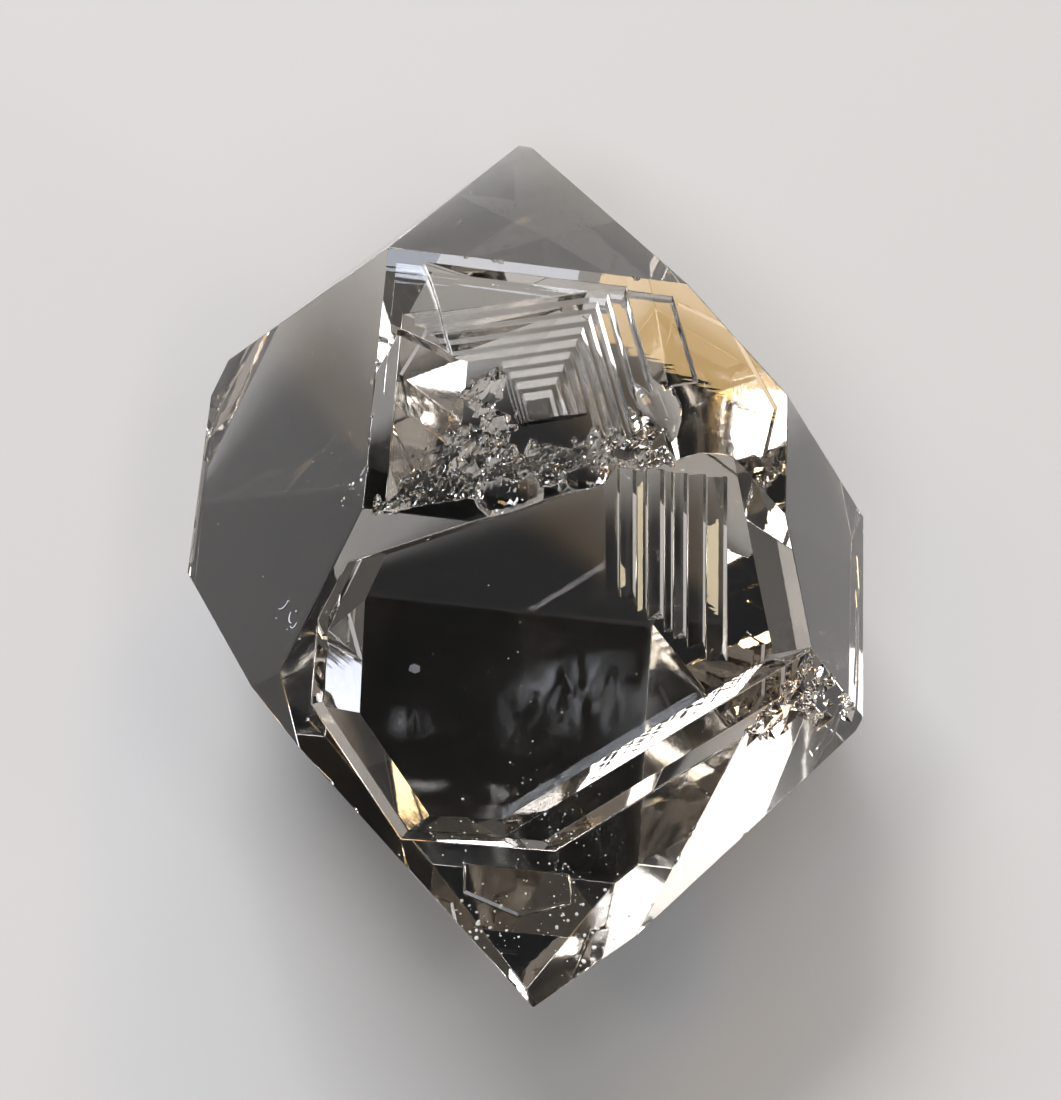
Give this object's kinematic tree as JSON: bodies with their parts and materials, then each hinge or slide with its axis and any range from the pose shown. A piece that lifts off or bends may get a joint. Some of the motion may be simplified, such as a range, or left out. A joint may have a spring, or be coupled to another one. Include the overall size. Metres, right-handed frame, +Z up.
{
  "type": "herkimer diamond quartz crystal",
  "caption": "Clear doubly terminated quartz crystal lying on a prism face, with a stepped hopper and a broken wall in its top face and a sunken terrace beside it.",
  "frame": {"origin": "on the resting face's plane, under the middle of the crystal's box", "axes": "+Z up out of the resting prism face, +Y along the crystal's long axis towards its far point, +X to the right"},
  "size_m": [0.0144, 0.0202, 0.0116],
  "materials": {
    "clear_quartz": "naturally bright crystal faces, colourless to faintly smoky"
  },
  "bodies": {
    "root": {"quartz_crystal": "clear_quartz"}
  },
  "joints": []
}
